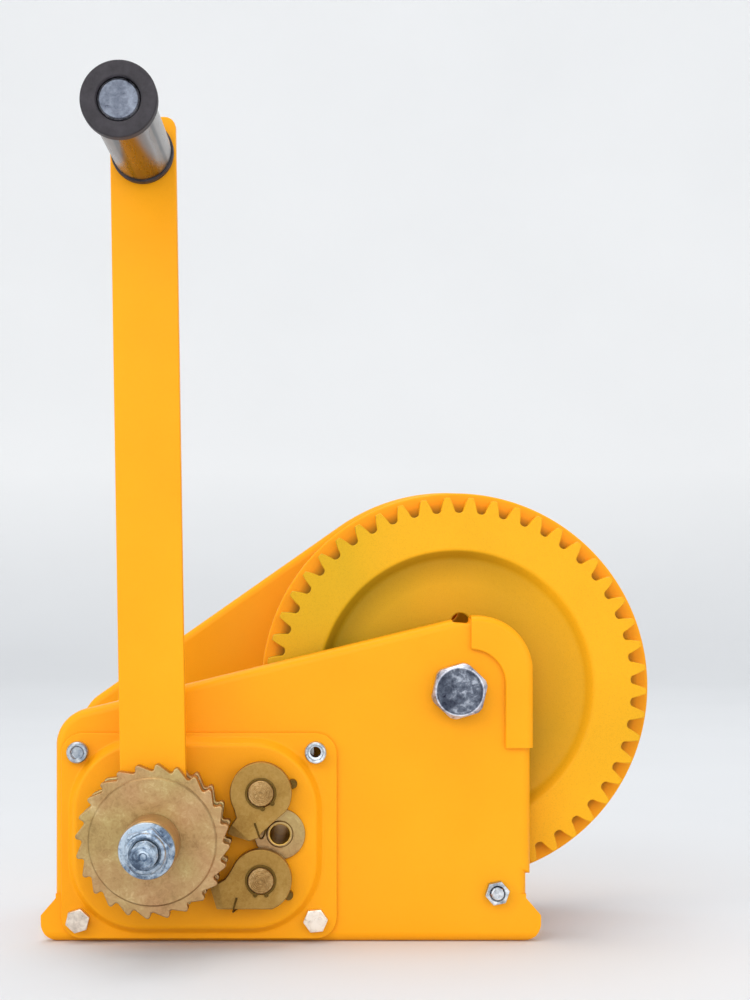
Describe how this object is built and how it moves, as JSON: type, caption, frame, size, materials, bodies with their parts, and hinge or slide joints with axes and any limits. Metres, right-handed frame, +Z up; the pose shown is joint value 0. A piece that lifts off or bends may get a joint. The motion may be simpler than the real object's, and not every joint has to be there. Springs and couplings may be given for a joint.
{
  "type": "hand brake winch",
  "caption": "Hand-crank cable winch: folded sheet frame, two-stage spur gears, flanged drum, ratchet brake with pawls, long flat crank arm and a turning tube grip.",
  "frame": {"origin": "centre of the base's underside, where the winch is bolted down", "axes": "+X to the right seen from the crank side, +Y away from the crank side along every shaft, +Z up"},
  "size_m": [0.2919, 0.274, 0.3812],
  "materials": {
    "paint": "glossy orange-yellow powder coat",
    "gear_paint": "slightly grainy yellow powder coat",
    "zinc": "blue-white zinc plate",
    "yellow_zinc": "yellow zinc plate, mottled",
    "bronze_zinc": "dark yellow zinc plate, satin",
    "steel": "oiled machined steel",
    "dark_steel": "dark spring steel",
    "polished": "polished tube",
    "bronze": "bearing bronze",
    "black": "matt black rubber",
    "lining": "dark friction lining"
  },
  "bodies": {
    "frame": {"frame_floor": "paint", "frame_wall_front": "paint", "frame_wall_rear": "paint", "corner_guard": "paint", "brake_plate": "paint", "plate_screw_upper_left": "zinc", "plate_spacer_upper_right": "zinc", "plate_bolt_lower_left": "zinc", "plate_bolt_lower_right": "zinc", "tie_rod": "zinc", "tie_rod_nut_front": "zinc", "tie_rod_nut_rear": "zinc", "axle_bolt": "zinc", "axle_spacer_front": "steel", "axle_spacer_rear": "steel", "axle_washer_rear": "zinc", "axle_nut": "zinc", "crank_bush_front": "bronze", "crank_bush_rear": "bronze", "idler_bush_front": "yellow_zinc", "idler_bush_rear": "yellow_zinc", "pawl_pin_upper": "bronze_zinc", "pawl_pin_lower": "bronze_zinc", "pawl_clip_upper": "dark_steel", "pawl_clip_lower": "dark_steel", "pawl_spring_upper": "dark_steel", "pawl_spring_lower": "dark_steel"},
    "drum": {"drum_core": "paint", "drum_flange_front": "paint", "drum_flange_rear": "paint", "drum_gear": "gear_paint", "drum_bush_front": "bronze", "drum_bush_rear": "bronze", "rope_clamp": "zinc", "rope_clamp_screw_left": "zinc", "rope_clamp_screw_right": "zinc"},
    "idler": {"idler_shaft": "yellow_zinc", "idler_gear": "steel", "idler_pinion": "steel", "idler_spacer": "steel"},
    "crank": {"crank_shaft": "zinc", "crank_pinion": "steel", "crank_circlip": "steel", "brake_flange": "steel", "friction_disc_rear": "lining", "friction_disc_front": "lining", "crank_hub": "steel", "crank_arm": "paint", "lock_ratchet": "yellow_zinc", "nut_spacer": "yellow_zinc", "shaft_washer": "zinc", "shaft_nut": "zinc", "grip_pin": "zinc"},
    "grip": {"grip_tube": "polished", "grip_collar_outer": "black", "grip_collar_inner": "black"},
    "brake_wheel": {"brake_ratchet": "yellow_zinc"},
    "upper_pawl": {"pawl_upper": "bronze_zinc"},
    "lower_pawl": {"pawl_lower": "bronze_zinc"}
  },
  "joints": [
    {"name": "drum_turn", "type": "hinge", "parent": "frame", "child": "drum", "pos_m": [0.07866, 0, 0.11811], "axis": [0, -1, 0], "continuous": true},
    {"name": "idler_turn", "type": "hinge", "parent": "frame", "child": "idler", "pos_m": [-0.005, 0, 0.0518], "axis": [0, -1, 0], "continuous": true},
    {"name": "crank_turn", "type": "hinge", "parent": "frame", "child": "crank", "pos_m": [-0.062, 0, 0.0518], "axis": [0, -1, 0], "continuous": true},
    {"name": "grip_spin", "type": "hinge", "parent": "crank", "child": "grip", "pos_m": [-0.06691, -0.14, 0.3643], "axis": [0, -1, 0], "continuous": true},
    {"name": "brake_wheel_turn", "type": "hinge", "parent": "frame", "child": "brake_wheel", "pos_m": [-0.062, -0.0699, 0.0518], "axis": [0, -1, 0], "continuous": true},
    {"name": "upper_pawl_lift", "type": "hinge", "parent": "frame", "child": "upper_pawl", "pos_m": [-0.0136, -0.0699, 0.0717], "axis": [0, -1, 0], "range_deg": [0, 25], "stiffness_Nm_per_rad": 0.05, "springref_deg": -20.05},
    {"name": "lower_pawl_lift", "type": "hinge", "parent": "frame", "child": "lower_pawl", "pos_m": [-0.0136, -0.0699, 0.0316], "axis": [0, -1, 0], "range_deg": [0, 25], "stiffness_Nm_per_rad": 0.05, "springref_deg": -20.05}
  ],
  "couplings": [
    {"joint": "idler_turn", "follows": "drum_turn", "ratio": -4.5455},
    {"joint": "crank_turn", "follows": "drum_turn", "ratio": 9.8485}
  ]
}
